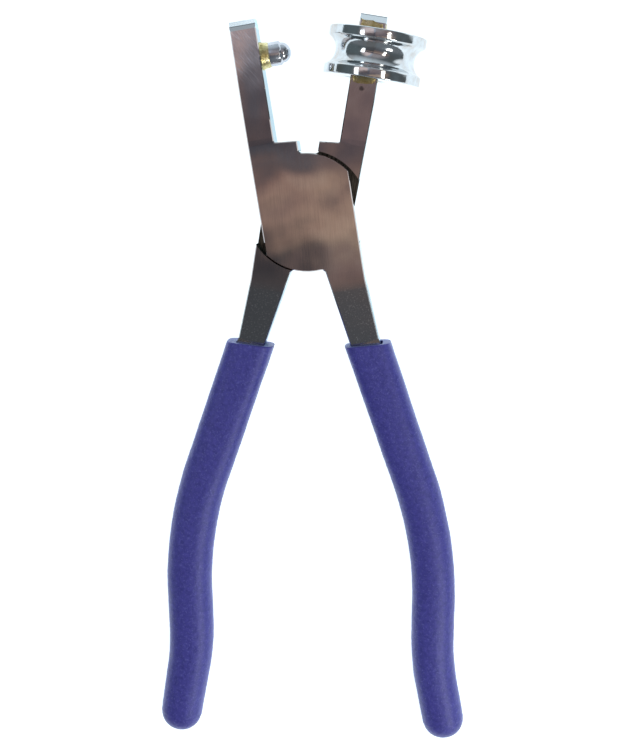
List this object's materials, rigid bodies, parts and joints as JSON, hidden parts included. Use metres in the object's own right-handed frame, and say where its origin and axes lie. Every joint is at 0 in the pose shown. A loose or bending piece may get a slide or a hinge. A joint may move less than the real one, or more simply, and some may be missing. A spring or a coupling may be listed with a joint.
{
  "type": "snap setter pliers",
  "caption": "Lap-joint hand pliers with a domed punch on one jaw, a grooved spool die on the other and thick dipped grips.",
  "frame": {"origin": "on the pivot axis, in the back face of the joint", "axes": "+Z along the pivot axis towards the front lever's plate, +Y towards the jaws, +X towards the spool jaw"},
  "size_m": [0.087, 0.1983, 0.0251],
  "materials": {
    "polished_steel": "ground and polished tool steel with fine grinding lines and bright bevelled edges",
    "punch_steel": "turned and polished steel",
    "chrome_plate": "mirror-bright turned chrome",
    "brass_braze": "brass-coloured braze, slightly uneven",
    "grip_vinyl": "matte dipped vinyl with a fine orange-peel texture"
  },
  "bodies": {
    "rear_lever_body": {"rear_lever": "polished_steel", "spool_die": "chrome_plate", "spool_braze": "brass_braze", "left_grip": "grip_vinyl"},
    "front_lever_body": {"front_lever": "polished_steel", "pivot_rivet": "polished_steel", "punch": "punch_steel", "punch_braze": "brass_braze", "right_grip": "grip_vinyl"}
  },
  "joints": [
    {"name": "pivot", "type": "hinge", "parent": "rear_lever_body", "child": "front_lever_body", "pos_m": [0, 0, 0.00475], "axis": [0, 0, 1], "range_deg": [-15, 60]}
  ]
}
